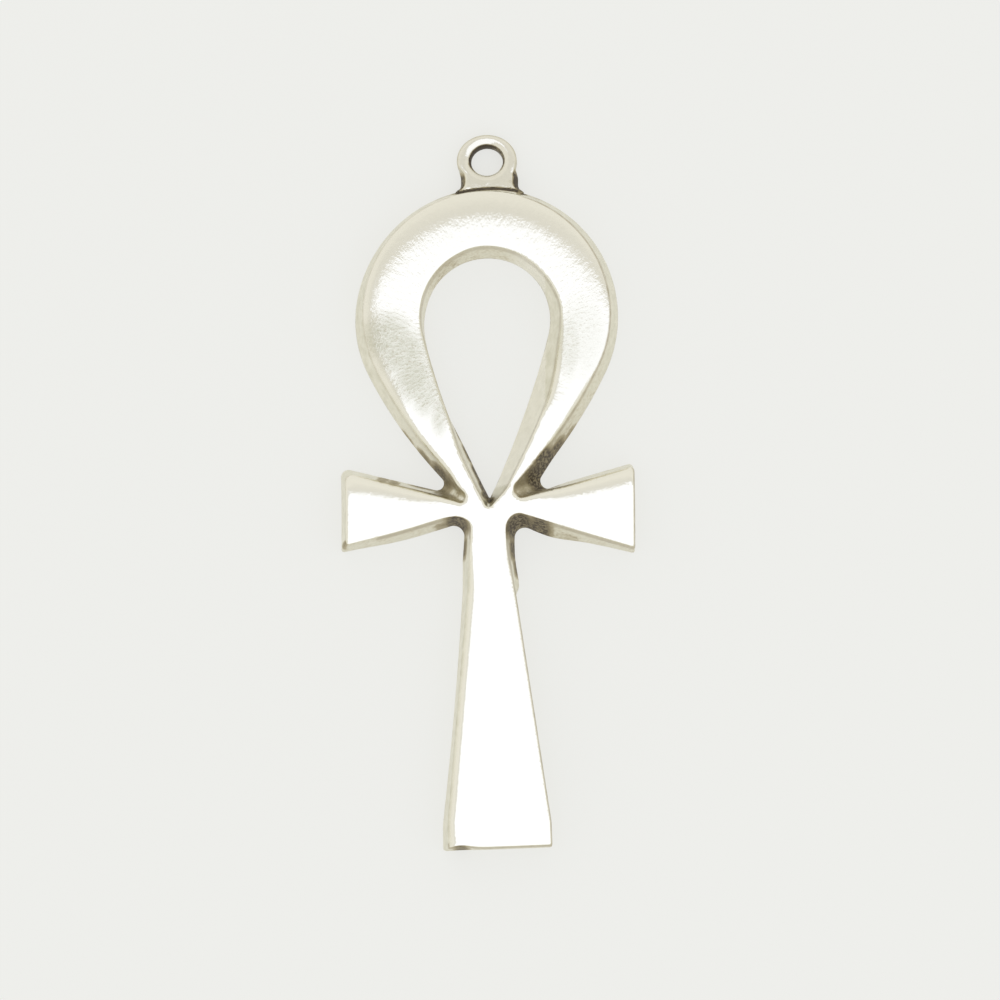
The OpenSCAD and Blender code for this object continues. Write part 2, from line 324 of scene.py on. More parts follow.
def half_cross(s, inset, edge_insets, lift, tip_r, face_crotch_r):
    """The cross's right half, with its own inset for each straight edge from the arm's top to the foot."""
    step = s.mesh_step
    crotch_r = mix(s.loop_crotch_r, face_crotch_r, min(1, inset / s.wall_draft))
    loop_y = loop_heights(s)[0]
    root_y = s.stem_h + s.arm_root_rise
    ends = np.array((
        (s.waist_w / 2, root_y + s.arm_root_w / 2),
        (s.arm_span / 2, s.stem_h + s.arm_end_w / 2 + lift),
        (s.arm_span / 2, s.stem_h - s.arm_end_w / 2),
        (s.waist_w / 2, root_y - s.arm_root_w / 2),
        (s.flare_start_w / 2, s.stem_h - s.flare_start_drop),
        (s.foot_w / 2, s.foot_straight),
        (s.foot_w / 2, 0),
        (0, 0),
    ))
    along = [unit(q - p) for p, q in zip(ends, ends[1:])]
    start = [p + d * np.array((u[1], -u[0])) for p, u, d in zip(ends, along, edge_insets)]
    flank_from, flank_centre = flank(s.loop_r, s.loop_flank_r, s.loop_rise + s.loop_sink)
    flank_centre = flank_centre + (0, loop_y)
    flank_r = s.loop_flank_r - inset

    # The crotch's arc touches the flank and the arm's upper edge
    out = along[0]
    upward = np.array((-out[1], out[0]))
    offset = start[0] + crotch_r * upward - flank_centre
    ahead = offset @ out
    reach = math.sqrt(ahead**2 - offset @ offset + (flank_r + crotch_r) ** 2) - ahead
    crotch = flank_centre + offset + reach * out
    flank_to = angle_of(crotch - flank_centre)
    crotch_to = 2 * math.pi + angle_of(-upward)

    corners = map(meet, start, along, start[1:], along[1:])
    points = [crotch - crotch_r * upward, *corners, np.array((0, edge_insets[-1]))]
    radii = (tip_r, s.arm_heel_r, s.stem_crotch_r, s.flare_ease_r, s.flare_ease_r, s.foot_corner_r)
    half = [
        arc((0, loop_y), s.loop_r - inset, math.pi / 2, -flank_from, top_steps(s.loop_r, flank_from, step)),
        arc(flank_centre, flank_r, -flank_from, flank_to, steps_of(s.loop_rise, step))[1:],
        arc(crotch, crotch_r, flank_to + math.pi, crotch_to, 10)[1:],
    ]
    last = points[0]
    for i, radius in enumerate(radii):
        bend = corner(points[i], points[i + 1], points[i + 2], radius, steps_of(radius, step / 2))
        count = steps_of(np.linalg.norm(ends[i + 1] - ends[i]), step)
        half += [np.linspace(last, bend[0], count + 1)[1:-1], bend]
        last = bend[-1]
    half.append(np.linspace(last, points[-1], steps_of(s.foot_w / 2, step) + 1)[1:])
    return np.vstack(half)


def leaning(s, inset, base, top):
    """Inset of a wall that goes from base to top while the other walls lean in by their draft."""
    return base + (top - base) * min(1, inset / s.wall_draft) + max(0, inset - s.wall_draft)


# Small shifts of the outline, in millimetres from the foot's middle: x, y and radius of the place, then the
# shift at the back and the shift at the face
SHIFTS = (
    (2.6, 20.8, 1.3, (0.27, 0), (0.13, 0.15)),
    (-1.3, 20.5, 1, (0, 0), (-0.3, 0)),
    (-1.45, 19.1, 0.7, (0, 0), (-0.08, -0.2)),
    (1.2, 18.9, 0.5, (0, 0), (0.08, -0.08)),
    (3.3, 18.2, 1.6, (0, -0.27), (0, 0)),
    (1.6, 17, 1.4, (-0.1, 0), (0, 0)),
    (-1.6, 0.3, 0.8, (0, 0), (0, 0.14)),
)


def cross_outline(s, inset):
    """Outline of the cross, at that distance inside the outline of its back, from the top clockwise."""
    low = leaning(s, inset, 0, s.low_draft)
    end, foot = (leaning(s, inset, wear, wear - s.worn_lean) for wear in (s.end_wear, s.foot_wear))
    rest = (low, inset, inset, inset, foot)
    right = half_cross(s, inset, (inset, end, *rest), s.arm_lift, s.arm_tip_r / 2, s.crotch_right_r)
    tip = leaning(s, inset, s.tip_wear, s.wall_draft)
    left = half_cross(s, inset, (inset, tip, *rest), -s.tip_wear, s.arm_tip_r, s.crotch_left_r)
    outline = joined(right, left)

    # What follows changes the outline through its two columns
    x, y = outline.T
    lean = min(1, inset / s.wall_draft)
    worn = smooth(mix(0.79, 0.89, lean), 0.745, y / s.stem_h)
    half_w = mix(s.foot_w, s.waist_w, np.clip(y / (s.stem_h - s.flare_start_drop), 0, 1)) / 2
    wear = leaning(s, inset, s.side_wear, s.side_wear - s.worn_lean) - inset
    x -= wear * worn * np.clip(1.3 * x / half_w, 0, 1)
    x += s.side_hollow * (x < 0) * (1 - lean) * np.sqrt(bell(0, s.stem_h - s.waist_w, y))
    y += s.foot_slope * x * smooth(0.15, 0, y / s.stem_h)
    at_end = smooth(0.45, 1, abs(x) / s.arm_span * 2) * (y > s.stem_h - 0.6 * s.arm_end_w)
    at_end *= np.clip(2 * (s.stem_h - y) / s.arm_end_w, 0, 1)
    y += s.low_wear * np.where(x < 0, mix(1, 0.5, lean), mix(0.5, 0, lean)) * at_end
    x += s.stem_lean * np.clip(1 - y / (s.stem_h - s.arm_end_w / 2), 0, None)
    loop_y = loop_heights(s)[0]
    bulge = bell(loop_y - 1.2 * s.loop_r, loop_y + 0.75 * s.loop_r, y) * (x < 0)
    x -= leaning(s, inset, s.loop_bulge, 0) * bulge * (inset < s.wall_draft)
    for *place, at_back, at_face in SHIFTS:
        outline += around(x, y, *place)[:, None] * mix(np.array(at_back), np.array(at_face), lean) * MM
    return shifted(s, outline)


def shifted(s, outline):
    """Moves what lies above the arms to the left, by the loop's shift."""
    return outline - s.loop_shift * smooth(s.stem_h, s.stem_h + s.loop_rise / 2, outline[:, 1:]) * (1, 0)


def window_outline(s, inset):
    """Outline of the window, where the walls of the cross are inset by that distance."""
    step = s.mesh_step
    grow = leaning(s, inset, 0, s.window_draft)
    lean = min(1, inset / s.wall_draft)
    drop = s.loop_rise - s.window_shift - s.window_tip_rise
    flank_from, flank_centre = flank(s.window_r, s.window_flank_r, drop)
    top = np.array((0, loop_heights(s)[0] - s.window_shift))
    flank_centre = flank_centre + top
    tip_r = s.window_tip_r + 0.25 * grow
    reach = s.window_flank_r + grow - tip_r
    tip = np.array((0, flank_centre[1] - math.sqrt(reach**2 - flank_centre[0] ** 2)))
    flank_to = angle_of(tip - flank_centre)
    half = np.vstack((
        arc(top, s.window_r + grow, math.pi / 2, -flank_from, top_steps(s.window_r, flank_from, step)),
        arc(flank_centre, s.window_flank_r + grow, -flank_from, flank_to, steps_of(drop, step))[1:],
        arc(tip, tip_r, flank_to, -math.pi / 2, 8)[1:],
    ))
    outline = joined(half, half)
    x, y = outline.T
    up = (y - s.stem_h) / s.loop_rise
    left = np.clip(-2 * x / s.window_r, 0, 1)
    right = smooth(0, 0.2, x / s.window_r) * smooth(1.3, 1.0, up)
    x += s.window_skew * lean * left * smooth(0.25, 0.5, up)
    splay = s.window_splay * (1 + 0.5 * smooth(0.5, 0.2, up)) + s.window_swell * bell(0.1, 1, up)
    x += splay * lean * right
    x -= s.window_wear * (1 - lean) * left * bell(0.25, 1.1, up)
    return shifted(s, outline)


def eyelet_outline(s, e, inset, share):
    """Outline of the eyelet with its neck, at that distance inside its widest outline and at that share of
    its thickness."""
    step = s.mesh_step / 1.5
    loop_top = loop_heights(s)[1]
    half_w, half_h = e.width / 2 - inset, e.height / 2 - inset
    neck = min(e.neck_w / 2 - inset - share * e.neck_draft, 0.98 * half_w)
    low = -math.acos(neck / half_w)
    a = np.linspace(math.pi / 2, low, steps_of(e.width * 0.9, step) + 1)
    oval = np.column_stack((half_w * np.cos(a), loop_top + e.rise + half_h * np.sin(a)))
    flare_at = (neck + inset + e.neck_flare_r, loop_top + 0.3 * e.neck_flare_r)
    flare = arc(flare_at, e.neck_flare_r + inset, math.pi, math.radians(248), 8)
    side = np.linspace(oval[-1], flare[0], steps_of(e.rise / 3, step) + 1)[1:-1]
    foot = np.array(((neck, loop_top - e.neck_root), (0, loop_top - e.neck_root)))
    half = np.vstack((oval, side, flare, foot))
    outline = joined(half, half)
    outline[:, 0] += e.neck_shift * smooth(loop_top + 0.8 * e.rise, loop_top + 0.3 * e.rise, outline[:, 1])
    return shifted(s, outline)


def bore_outline(s, e, grow):
    """Outline of the eyelet's hole, at that distance outside its narrowest outline."""
    centre = np.array((0, loop_heights(s)[1] + e.rise))
    ring = arc((0, 0), 1, math.pi / 2, -math.pi * 1.5, 96)[:-1]
    return shifted(s, centre + ring * (e.bore_w / 2 + grow, e.bore_h / 2 + grow))


def sides_of(ring):
    return ring, np.roll(ring, -1, axis=0)


def in_batches(work, points, size=4000):
    """Runs work on a few thousand points at a time, which keeps its tables small."""
    return np.concatenate([work(points[i:i + size]) for i in range(0, len(points), size)])


def inside(points, ring):
    """Whether each point lies in the ring, by counting the sides that a ray to the right crosses."""
    p, q = sides_of(ring)

    def work(batch):
        x, y = batch[:, :1], batch[:, 1:]
        spans = (p[:, 1] > y) != (q[:, 1] > y)
        rise = np.where(q[:, 1] == p[:, 1], 1, q[:, 1] - p[:, 1])
        return (spans & (x < p[:, 0] + (y - p[:, 1]) * (q[:, 0] - p[:, 0]) / rise)).sum(axis=1) % 2 == 1

    return in_batches(work, points)


def distance_to(points, sides):
    """Distance from each point to the nearest of the sides, which are given as their starts and ends."""
    p, q = sides
    d = q - p
    size = (d**2).sum(axis=1)

    def work(batch):
        x, y = batch[:, :1] - p[:, 0], batch[:, 1:] - p[:, 1]
        t = np.clip((x * d[:, 0] + y * d[:, 1]) / size, 0, 1)
        return np.sqrt(((x - t * d[:, 0]) ** 2 + (y - t * d[:, 1]) ** 2).min(axis=1))

    return in_batches(work, points)


def grid_inside(outer, hole, step):
    """Points of a triangular grid between two rings, with their distance to the nearer ring."""
    low, high = outer.min(axis=0), outer.max(axis=0)
    rows = np.arange(low[1], high[1], step * math.sqrt(0.75))
    columns = np.arange(low[0], high[0], step)
    x, y = np.meshgrid(columns, rows)
    x[1::2] += step / 2
    points = np.column_stack((x.ravel(), y.ravel()))
    points = points[inside(points, outer) & ~inside(points, hole)]
    far = np.minimum(distance_to(points, sides_of(outer)), distance_to(points, sides_of(hole)))
    keep = far > 0.6 * step
    return points[keep], far[keep]


def triangles_between(outer, hole, inner):
    """Triangles, as indices into outer, hole and inner joined, that fill the face between two rings."""
    points = np.vstack((outer, hole, inner))
    n, m = len(outer), len(hole)
    edges = [(i, (i + 1) % n) for i in range(n)] + [(n + i, n + (i + 1) % m) for i in range(m)]
    found = geometry.delaunay_2d_cdt([Vector(p) for p in points / MM], edges, [], 1, 1e-7)
    source = np.array([origins[0] for origins in found[3]])
    triangles = source[np.array(found[2])]
    return triangles[~inside(points[triangles].mean(axis=1), hole)]


def relaxed(values, triangles, weight, rounds):
    """Evens out values over the triangles' edges, each by its own weight."""
    sides = np.vstack((triangles[:, :2], triangles[:, 1:], triangles[:, ::2]))
    edges = np.unique(np.sort(sides, axis=1), axis=0)
    a, b = np.vstack((edges, edges[:, ::-1])).T
    count = np.bincount(a, minlength=len(values))
    for _ in range(rounds):
        mean = np.bincount(a, values[b], len(values)) / np.maximum(count, 1)
        values += weight * (mean - values)
    return values


def plate(outer_rings, hole_rings, height, step):
    """Vertices and faces of a closed plate with a hole. The rings run from its back to its face, and height
    gives the level of the face at places inside them."""
    back, front = outer_rings[0], outer_rings[-1]
    hole_back, hole_front = hole_rings[0], hole_rings[-1]
    n, m = len(front), len(hole_front)
    inner, far = grid_inside(front[:, :2], hole_front[:, :2], step)
    cap = triangles_between(front[:, :2], hole_front[:, :2], inner)
    level = np.concatenate((front[:, 2], hole_front[:, 2], height(inner)))
    ease = np.concatenate((np.zeros(n + m), np.clip(far / (5 * step) - 0.4, 0, 0.6)))
    level = relaxed(level, cap, ease, 20)
    base = triangles_between(back[:, :2], hole_back[:, :2], np.empty((0, 2)))

    points = np.vstack((*outer_rings, *hole_rings, np.column_stack((inner, level[n + m:]))))
    holes_at = n * len(outer_rings)
    inner_at = holes_at + m * len(hole_rings)

    def lift(triangles, outer_at, hole_at):
        """The cap's indices as indices into the plate's own points."""
        runs = ((outer_at, n), (hole_at, m), (inner_at, len(inner)))
        return np.concatenate([start + np.arange(count) for start, count in runs])[triangles].tolist()

    def wall(first, count, levels):
        quads = []
        for k in range(levels - 1):
            a = first + k * count + np.arange(count)
            b = np.roll(a, -1)
            quads += np.column_stack((a, b, b + count, a + count)).tolist()
        return quads

    faces = lift(cap, n * (len(outer_rings) - 1), holes_at + m * (len(hole_rings) - 1))
    faces += lift(base[:, ::-1], 0, holes_at)
    faces += [q[::-1] for q in wall(0, n, len(outer_rings))]
    faces += wall(holes_at, m, len(hole_rings))
    return points, faces


def ring_at(outline, z):
    return np.column_stack((outline, np.broadcast_to(z, len(outline))))


# Small dents in the face, in millimetres from the foot's middle: x, y, radius and depth
DENTS = (
    (7.65, 18.15, 0.22, 0.05),
    (2.75, 0.95, 0.2, 0.05),
    (-5.9, 31.4, 0.9, 0.03),
    (-4.6, 27.4, 0.8, 0.025),
)


class Face:
    """The cross's face. It rises from its edges, gently along the loop and the arms' tops, sharply elsewhere,
    and most sharply where the limbs meet."""

    def __init__(self, s):
        self.s = s
        p, q = sides_of(cross_outline(s, s.wall_draft))
        x, y = ((p + q) / 2).T
        across, along = abs(q - p).T
        below = y < s.stem_h
        at_end = (abs(x) > 0.45 * s.arm_span) & (across < 0.3 * along)
        stem = below & (x < 0) & (y < s.stem_h - 0.6 * s.waist_w) & ~at_end & (y > 0.03 * s.stem_h)
        arm = ~below & ~at_end & (across > 1.5 * along) & (y < s.stem_h + 0.3 * s.loop_rise)
        loop = ~below & ~at_end & ~arm
        which = {"loop": loop, "arm": arm, "stem": stem, "crisp": ~loop & ~arm & ~stem}
        self.sides = {name: (p[chosen], q[chosen]) for name, chosen in which.items()}
        self.sides["window"] = sides_of(window_outline(s, s.wall_draft))

    def reach(self, name, points):
        """Distance over which the face rounds off towards the sides of that name."""
        s = self.s
        x, y = points.T
        up = (y - s.stem_h) / s.loop_rise
        outward = abs(x) / s.arm_span * 2
        tip = 0.5 * smooth(0.7, 1, outward) * (x < 0)
        belly = smooth(0.45, 0.65, up) * smooth(1.0, 0.7, up) * (x > 0)
        widest = {
            "loop": mix(s.limb_reach, s.loop_reach, smooth(0.4, 0.95, up)),
            "arm": mix(s.root_reach, s.arm_reach, outward + tip),
            "window": mix(s.crisp_reach, s.belly_reach, belly),
            "stem": s.stem_reach,
            "crisp": s.crisp_reach,
        }
        clear = smooth(0.07, 0.4, np.hypot(x, y - s.stem_h - s.window_tip_rise / 2) / s.loop_rise)
        if name == "stem":
            clear = smooth(0.9, 0.72, y / s.stem_h)
        return mix(s.crisp_reach, widest[name], clear)

    def level(self, points):
        s = self.s
        share = 1
        for name, sides in self.sides.items():
            share = share * (1 - np.exp(-distance_to(points, sides) / self.reach(name, points)))
        level = s.wall_h + (s.casting_t - s.wall_h) * share
        for *place, depth in DENTS:
            level -= depth * MM * around(*points.T, *place) * share
        return level

    def rim(self, points):
        """Strength of the dark line along the face's edges."""
        strength = {"loop": 0.25, "arm": 0.85, "stem": 0.1, "crisp": 0.8, "window": 0.5}
        x = points[:, 0]
        strength["loop"] += 0.5 * (x > 0)
        outward = 2 * x / self.s.arm_span
        strength["arm"] *= smooth(0.8, np.where(x < 0, 0.66, 0.4), abs(outward))
        strength["crisp"] *= 1 - 0.9 * (outward < -0.9)
        return np.max([
            strength[name] * smooth(0.08 * MM, 0.02 * MM, distance_to(points, sides))
            for name, sides in self.sides.items()
        ], axis=0)


def cross_blank(s):
    """The cross with its window, resting at z 0 with its foot at y 0."""
    face = Face(s)
    r = s.back_edge_r
    edge = arc((r, r), r, math.pi, 1.5 * math.pi, 3)
    levels = np.vstack((edge, np.linspace((r, 0), (s.wall_h, s.wall_draft), 16)[1:]))
    outer = [ring_at(cross_outline(s, inset), z) for z, inset in levels]
    hole = [ring_at(window_outline(s, inset), z) for z, inset in levels]
    for share in (0.15, 0.4, 0.7, 1):
        inset = s.wall_draft + share * s.shoulder_w
        for rings, outline in ((outer, cross_outline(s, inset)), (hole, window_outline(s, inset))):
            rings.append(ring_at(outline, face.level(outline)))
    return plate(outer, hole, face.level, s.mesh_step)


def eyelet_blank(s, e):
    """The eyelet's plate with its neck, tilted back about its root."""
    r, throat = e.edge_r, e.throat_w
    low, high = e.lift, e.lift + e.thickness

    # Levels and insets of the outer edge and of the hole's rim, from the back to the face
    below, above = arc((low + r, r), r, math.pi, 1.5 * math.pi, 6), arc((high - r, r), r, -math.pi / 2, 0, 6)
    bevel = ((1, 0), (0.8, 0.12), (0.45, 0.45), (0.15, 0.8), (0, 1))
    rim = [(low + deep * throat, wide * throat) for deep, wide in ((0, 1), (0.5, 0.4), (1.2, 0))]
    rim += [(low + 0.4 * e.thickness, 0), (high - 0.36 * e.thickness, 0.2 * throat)]
    rim += [(high - e.rim_h - 0.1 * e.thickness, 0.6 * throat)]
    rim += [(high - deep * e.rim_h, throat + wide * e.rim_w) for deep, wide in bevel]
    edge = (*below, *above)
    outer = [ring_at(eyelet_outline(s, e, inset, (z - low) / e.thickness), z) for z, inset in edge]
    hole = [ring_at(bore_outline(s, e, grow), z) for z, grow in rim]

    def height(places):
        """The face dips where its neck meets the loop."""
        from_loop = distance_to(places, sides_of(cross_outline(s, s.wall_draft * high / s.wall_h)))
        return high - e.crease_h * smooth(e.crease_w, 0, from_loop)

    points, faces = plate(outer, hole, height, s.mesh_step / 1.4)
    root = Vector((0, loop_heights(s)[1], e.lift))
    tilted = Matrix.Translation(root) @ Matrix.Rotation(-e.tilt, 4, "X") @ Matrix.Translation(-root)
    matrix = np.array(tilted)
    return points @ matrix[:3, :3].T + matrix[:3, 3], faces


def scene_object(name, data):
    """A new object in the scene."""
    made = bpy.data.objects.new(name, data)
    bpy.context.scene.collection.objects.link(made)
    return made


def mesh_object(name, points, faces):
    """A new mesh object, from points in the frame."""
    mesh = bpy.data.meshes.new(name)
    mesh.from_pydata(points.tolist(), [], faces)
    mesh.validate()
    return scene_object(name, mesh)


def fused(base, tool):
    """Fuses two closed solids into base, and removes tool."""
    union = base.modifiers.new("Fuse", "BOOLEAN")
    union.operation, union.solver, union.object = "UNION", "MANIFOLD", tool
    applied(base)
    bpy.data.objects.remove(tool)


def applied(piece):
    """Turns the piece's modifiers into its mesh."""
    bpy.context.view_layer.update()
    evaluated = piece.evaluated_get(bpy.context.evaluated_depsgraph_get())
    mesh = bpy.data.meshes.new_from_object(evaluated)
    piece.modifiers.clear()
    old = piece.data
    piece.data = mesh
    mesh.name = piece.name
    bpy.data.meshes.remove(old)


# Places where oxide was left on the walls, and two of painted shade, in millimetres from the foot's middle:
# x, y, radius, strength and the share of the wall's height that it climbs
OXIDE_SPOTS = (
    (2.8, 21.3, 1.3, 1, 2), (1.8, 20.8, 1, 0.5, 2), (3.3, 22.2, 1.4, 0.95, 1.5),
    (4, 23, 1.3, 0.8, 0.75), (4.6, 23.8, 1.2, 0.6, 0.35), (3.4, 20.8, 1, 0.5, 0.6),
    (-2.6, 21, 1, 0.7, 2), (-1.7, 20.3, 0.9, 0.3, 2), (-6, 21.3, 0.6, 0.5, 2),
    (-5.4, 21.1, 0.6, 0.5, 2), (-2.9, 21.6, 1.2, 0.8, 0.9), (-3.6, 22.6, 1.2, 0.65, 0.5),
    (-4.5, 23.8, 1.2, 0.45, 0.3), (-3.8, 20.8, 1.3, 0.7, 0.4), (1.7, 18.5, 1.4, 1, 2),
    (2.8, 18.4, 1.3, 0.85, 1.5), (1.5, 17.3, 1.1, 0.85, 0.8), (1.65, 16.3, 1, 0.8, 0.45),
    # The first two spots on the next line are painted shade on the right arm's lower wall
    (4.3, 17.9, 1.6, 0.3, 0.7), (6, 17.4, 1.6, 0.22, 0.6), (-1.8, 18.7, 1.2, 0.9, 2),
    (-2.7, 18.8, 0.9, 0.5, 0.8), (-1.5, 17.4, 1.1, 0.7, 0.6), (-0.35, 20.8, 0.75, 1.3, 0.5),
    (-0.15, 20.4, 0.4, 1.2, 1), (0.08, 20.05, 0.3, 1.5, 1), (-0.8, 21.6, 1, 1.2, 0.4),
    (-1.3, 22.8, 1, 1, 0.35), (-1.8, 24, 1, 0.75, 0.35), (-8.15, 17.55, 0.35, 0.6, 2),
    (-1.6, 0.2, 0.8, 0.75, 2), (-1.7, 38.15, 0.9, 1.3, 2), (1.65, 38.25, 0.95, 1.5, 2),
)

# Dull patches, rougher, whose grey is a painted darker reflection: x, y, half width, half height and strength
DULL_AND_DARK_REFLECTION_SPOTS = (
    (-5.7, 29.3, 1.8, 1.6, 0.85),
    (-4.8, 28.3, 1.7, 1.7, 0.9),
    (-4.2, 27, 1.4, 1.8, 0.9),
    (-3.5, 25.9, 1, 1.4, 0.75),
    (-2.75, 24.8, 0.6, 1.4, 0.7),
    (4.6, 28.8, 0.9, 2.4, 0.5),
    (5.3, 29.2, 1.9, 3, 0.3),
)


def vertex_values(mesh, name):
    """The vertices' places or normals, in one row each."""
    values = np.empty(len(mesh.vertices) * 3)
    mesh.vertices.foreach_get(name, values)
    return values.reshape(-1, 3)


def mark_places(piece, s, e):
    """Stores for each vertex how steep it is (less so on the window's right wall, a painted lighter tone),
    how much oxide and painted shade it has, how strong its dark edge line is (painted shade on the eyelet),
    how grey it is in the dull patches (a painted darker reflection), and its place along and across the
    strokes of the polishing."""
    mesh = piece.data
    place = vertex_values(mesh, "co") - (0, CAD_LOW.y, 0)
    x, y, z = place.T / MM
    east, north, up = vertex_values(mesh, "normal").T
    loop_x, loop_y, loop_top, loop_r, stem_h = (
        size / MM for size in (-s.loop_shift, *loop_heights(s), s.loop_r, s.stem_h)
    )
    from_loop = np.hypot(x - loop_x, y - loop_y) - loop_r
    near_top = y > loop_y + 0.9 * loop_r
    on_neck = near_top & (abs(x - loop_x) < 2.3)
    on_eyelet = near_top & (from_loop > -0.2)

    # Painted lighter tone: where the window's right wall faces left it counts as less steep, so it takes less
    # of the walls' tint, roughness, ripple and oxide
    steep = smooth(0.92, 0.55, up)
    painted_light_wall = (abs(x) < 0.9 * s.window_r / MM) & (x > 0) & (y > stem_h + s.arm_end_w / MM / 4)
    steep *= 1 - 0.45 * painted_light_wall * smooth(0.2, 0.6, -east)

    # Oxide and painted shade: oxide at the listed spots and in the crease at the neck, painted shade on walls
    # that face the foot or the right, oxide with painted shade on the upper half of the hole, a faint painted
    # shade over the eyelet, and a painted contact shadow along the foot of the window's walls
    oxide_and_shade = np.zeros(len(x))
    for cx, cy, radius, strength, climb in OXIDE_SPOTS:
        near = smooth(1, 0.2, np.hypot(x - cx, y - cy) / radius)
        low = smooth(climb + 0.3, climb - 0.3, z * MM / s.wall_h)
        oxide_and_shade = np.maximum(oxide_and_shade, strength * near * low)
    # Painted shade: walls that face the foot are darkened, and walls that face the right a little less
    shaded = 0.19 * smooth(0.2, 0.8, -north) + 0.1 * smooth(0.2, 0.8, east)
    oxide_and_shade = np.maximum(oxide_and_shade * np.clip(steep + 0.1, 0, 1), steep * shaded)
    from_crease = abs(from_loop + 0.18 - 0.04 * (x - loop_x))
    crease = on_neck * smooth(2.15, 1.75, abs(x - loop_x - 0.25)) * smooth(0.13, 0.03, from_crease)
    bore_y = loop_top + e.rise / MM
    in_bore = np.hypot(x - loop_x, y - bore_y) < 0.5 * (e.bore_w / MM + 0.25)
    # Oxide in the hole, made darker on its upper half as painted shade
    bore = in_bore * steep * smooth(-0.6, 0.3, y - bore_y + 0.4 * abs(x - loop_x))
    # Painted contact shadow: a thin dark line where the window's walls meet the floor
    at_window = distance_to(place[:, :2], sides_of(window_outline(s, 0))) / MM
    base = steep * smooth(0.2, 0.1, at_window) * smooth(0.3, 0.1, z)
    # Here 0.05 * on_eyelet is a faint painted shade over the eyelet
    oxide_and_shade = np.max([oxide_and_shade, 1.6 * crease, 1.5 * bore, 0.05 * on_eyelet, 0.3 * base], axis=0)

    rim = np.zeros(len(x))
    high = (place[:, 2] > 0.75 * s.wall_h) & ~on_neck
    rim[high] = Face(s).rim(place[high, :2])
    # Painted shade on the eyelet: its face is toned darker olive, and its walls more so
    rim = np.maximum(rim, (0.12 + 0.3 * steep) * on_eyelet)
    # Dull patches: rougher, and greyer as a painted darker reflection; faint over the loop's top, strong at
    # the spots
    dull_and_dark_reflection = 0.07 * smooth(0.15, 0.4, (y - stem_h) * MM / s.loop_rise)
    for cx, cy, half_w, half_h, strength in DULL_AND_DARK_REFLECTION_SPOTS:
        far = np.hypot((x - cx) / half_w, (y - cy) / half_h)
        dull_and_dark_reflection = np.maximum(dull_and_dark_reflection, strength * smooth(1.2, 0.3, far))

    # Strokes run out from a place in the window on the loop, and across the arms and the stem
    centre_y, arms_low, root_x = loop_y - 2, stem_h - 3, 1.9
    seam_y = stem_h + 1.1 + 0.26 * np.clip(abs(x) - 1.4, 0, None)
    on_loop = y > seam_y
    on_arm = ~on_loop & (abs(x) > root_x) & (y > arms_low)
    turn = np.arctan2(x, y - centre_y) * 0.75 * loop_r
    along = np.where(on_loop, turn, np.where(on_arm, x, y))
    across = np.where(on_loop, np.hypot(x, y - centre_y), np.where(on_arm, y, x))
    no_seam = on_loop | (y < arms_low)
    from_seam = np.minimum(abs(y - seam_y), np.where(no_seam, 9, abs(abs(x) - root_x)))
    stroke = np.column_stack((along, across, smooth(0.15, 0.7, from_seam)))
    for name, values in zip(MARKS, (steep, oxide_and_shade, rim, dull_and_dark_reflection, stroke)):
        kind, key = ("FLOAT_VECTOR", "vector") if values.ndim == 2 else ("FLOAT", "value")
        layer = mesh.attributes.new(name, kind, "POINT")
        layer.data.foreach_set(key, values.ravel().astype(np.float32))


def add_node(tree, kind, inputs=(), out=0, **settings):
    """Adds a node and returns one of its outputs. Its inputs, by name or number, are sockets or values."""
    node = tree.nodes.new(kind)
    for key, value in settings.items():
        setattr(node, key, value)
    for key, value in dict(inputs).items():
        if isinstance(value, bpy.types.NodeSocket):
            tree.links.new(value, node.inputs[key])
        else:
            node.inputs[key].default_value = value
    return node.outputs[out] if node.outputs else node


def add_remap(tree, value, low, high, to_low=0.0, to_high=1.0):
    """Adds a node that maps a value from the first range to the second, and holds it there."""
    return add_node(tree, "ShaderNodeMapRange", dict(enumerate((value, low, high, to_low, to_high))))


def add_calc(tree, operation, *values, **settings):
    """Adds a node that works out a number from up to three others."""
    return add_node(tree, "ShaderNodeMath", dict(enumerate(values)), operation=operation, **settings)


def add_blend(tree, share, a, b, **settings):
    """Adds a node that mixes two colours. Plain ones are linear red, green and blue."""
    a, b = (c if isinstance(c, bpy.types.NodeSocket) else (*c, 1.0) for c in (a, b))
    return add_node(tree, "ShaderNodeMix", {0: share, 6: a, 7: b}, out=2, data_type="RGBA", **settings)


def adders(tree):
    """The four functions above, for that tree."""
    return [functools.partial(work, tree) for work in (add_node, add_remap, add_calc, add_blend)]


